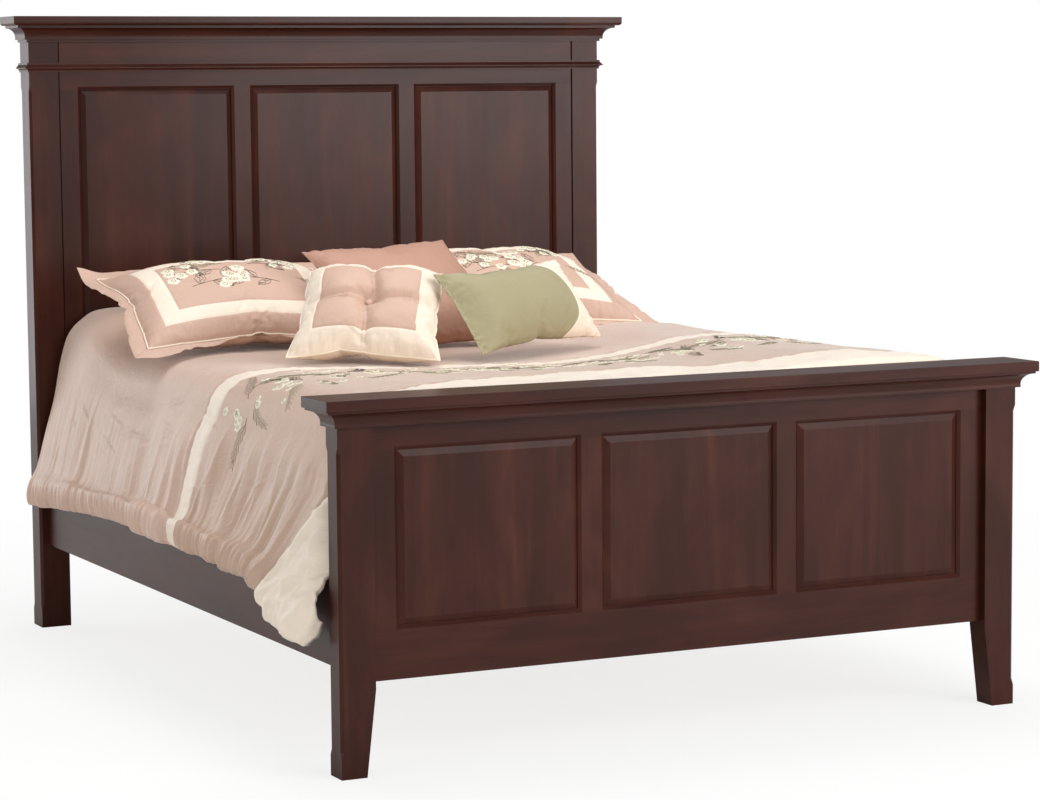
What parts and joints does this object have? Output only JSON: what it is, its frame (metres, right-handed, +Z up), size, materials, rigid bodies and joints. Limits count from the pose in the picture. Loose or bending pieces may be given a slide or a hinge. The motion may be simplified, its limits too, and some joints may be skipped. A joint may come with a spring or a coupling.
{
  "type": "panel bed",
  "caption": "Queen panel bed with raised-panel headboard and footboard, cornice caps, hooked side rails and slats, made up with mattress, comforter and pillows.",
  "frame": {"origin": "on the floor, at the middle of the bed's overall length and width", "axes": "+X to the right seen from the foot, +Y from foot to head, +Z up"},
  "size_m": [1.836, 2.2356, 1.667],
  "materials": {
    "wood_upright": "dark espresso stain on maple under a satin clear coat, grain upright",
    "wood_panel": "dark espresso stain on maple under a satin clear coat, glued-up staves with upright grain",
    "wood_crosswise": "dark espresso stain on maple under a satin clear coat, grain across the bed",
    "wood_lengthwise": "dark espresso stain on maple under a satin clear coat, grain along the bed",
    "deck_wood": "planed pine, bare",
    "slat_wood": "planed pine, bare",
    "leg_wood": "planed pine, bare",
    "plate_steel": "zinc-plated pressed steel",
    "screw_steel": "zinc-plated steel",
    "leveller_steel": "zinc-plated thread",
    "leveller_pad": "black nylon",
    "box_cloth": "woven cream cover",
    "ticking": "quilted knit ticking",
    "comforter_cloth": "mauve-beige satin with cream bands and small sprigs, crinkled cream end",
    "sham_cloth": "pink satin centre with cream and mauve bands",
    "rose_cloth": "plain rose satin",
    "tufted_cloth": "cream satin border round a pink centre, cross seams",
    "button_cloth": "covered button",
    "green_cloth": "sage green satin with a cream end"
  },
  "bodies": {
    "bed": {"bed_slats": "slat_wood", "box_spring": "box_cloth", "centre_beam": "deck_wood", "centre_leg_front": "leg_wood", "centre_leg_rear": "leg_wood", "comforter": "comforter_cloth", "foot_cornice_back": "wood_crosswise", "foot_cornice_front": "wood_crosswise", "foot_cornice_left": "wood_lengthwise", "foot_cornice_right": "wood_lengthwise", "foot_post_left": "wood_upright", "foot_post_right": "wood_upright", "footboard_bottom_rail": "wood_crosswise", "footboard_cap": "wood_crosswise", "footboard_mullion_left": "wood_upright", "footboard_mullion_right": "wood_upright", "footboard_panel_centre": "wood_panel", "footboard_panel_left": "wood_panel", "footboard_panel_right": "wood_panel", "footboard_stile_left": "wood_upright", "footboard_stile_right": "wood_upright", "footboard_top_rail": "wood_crosswise", "green_pillow": "green_cloth", "head_astragal_front": "wood_crosswise", "head_astragal_left": "wood_lengthwise", "head_astragal_right": "wood_lengthwise", "head_cornice_front": "wood_crosswise", "head_cornice_left": "wood_lengthwise", "head_cornice_right": "wood_lengthwise", "head_post_left": "wood_upright", "head_post_right": "wood_upright", "headboard_bottom_rail": "wood_crosswise", "headboard_cap": "wood_crosswise", "headboard_mullion_left": "wood_upright", "headboard_mullion_right": "wood_upright", "headboard_panel_centre": "wood_panel", "headboard_panel_left": "wood_panel", "headboard_panel_right": "wood_panel", "headboard_stile_left": "wood_upright", "headboard_stile_right": "wood_upright", "headboard_top_rail": "wood_crosswise", "leg_inserts": "screw_steel", "mattress": "ticking", "post_catch_plates": "plate_steel", "rail_cleat_left": "deck_wood", "rail_cleat_right": "deck_wood", "rail_hook_plates": "plate_steel", "rose_pillow": "rose_cloth", "sham_left": "sham_cloth", "sham_right": "sham_cloth", "side_rail_left": "wood_lengthwise", "side_rail_right": "wood_lengthwise", "tuft_button": "button_cloth", "tufted_pillow": "tufted_cloth", "wood_screws": "screw_steel"},
    "pad_front": {"leveller_pad_front": "leveller_pad"},
    "stem_front": {"leveller_stem_front": "leveller_steel"},
    "pad_rear": {"leveller_pad_rear": "leveller_pad"},
    "stem_rear": {"leveller_stem_rear": "leveller_steel"}
  },
  "joints": [
    {"name": "leveller_front_lift", "type": "slide", "parent": "bed", "child": "pad_front", "axis": [0, 0, 1], "range_m": [0, 0.01]},
    {"name": "leveller_front_turn", "type": "hinge", "parent": "pad_front", "child": "stem_front", "pos_m": [0, 0.00175, 0.02], "axis": [0, 0, 1], "range_deg": [0, 2880]},
    {"name": "leveller_rear_lift", "type": "slide", "parent": "bed", "child": "pad_rear", "axis": [0, 0, 1], "range_m": [0, 0.01]},
    {"name": "leveller_rear_turn", "type": "hinge", "parent": "pad_rear", "child": "stem_rear", "pos_m": [0, 0.57175, 0.02], "axis": [0, 0, 1], "range_deg": [0, 2880]}
  ],
  "couplings": [
    {"joint": "leveller_front_turn", "follows": "leveller_front_lift", "rad_per_m": 5026.5},
    {"joint": "leveller_rear_turn", "follows": "leveller_rear_lift", "rad_per_m": 5026.5}
  ]
}
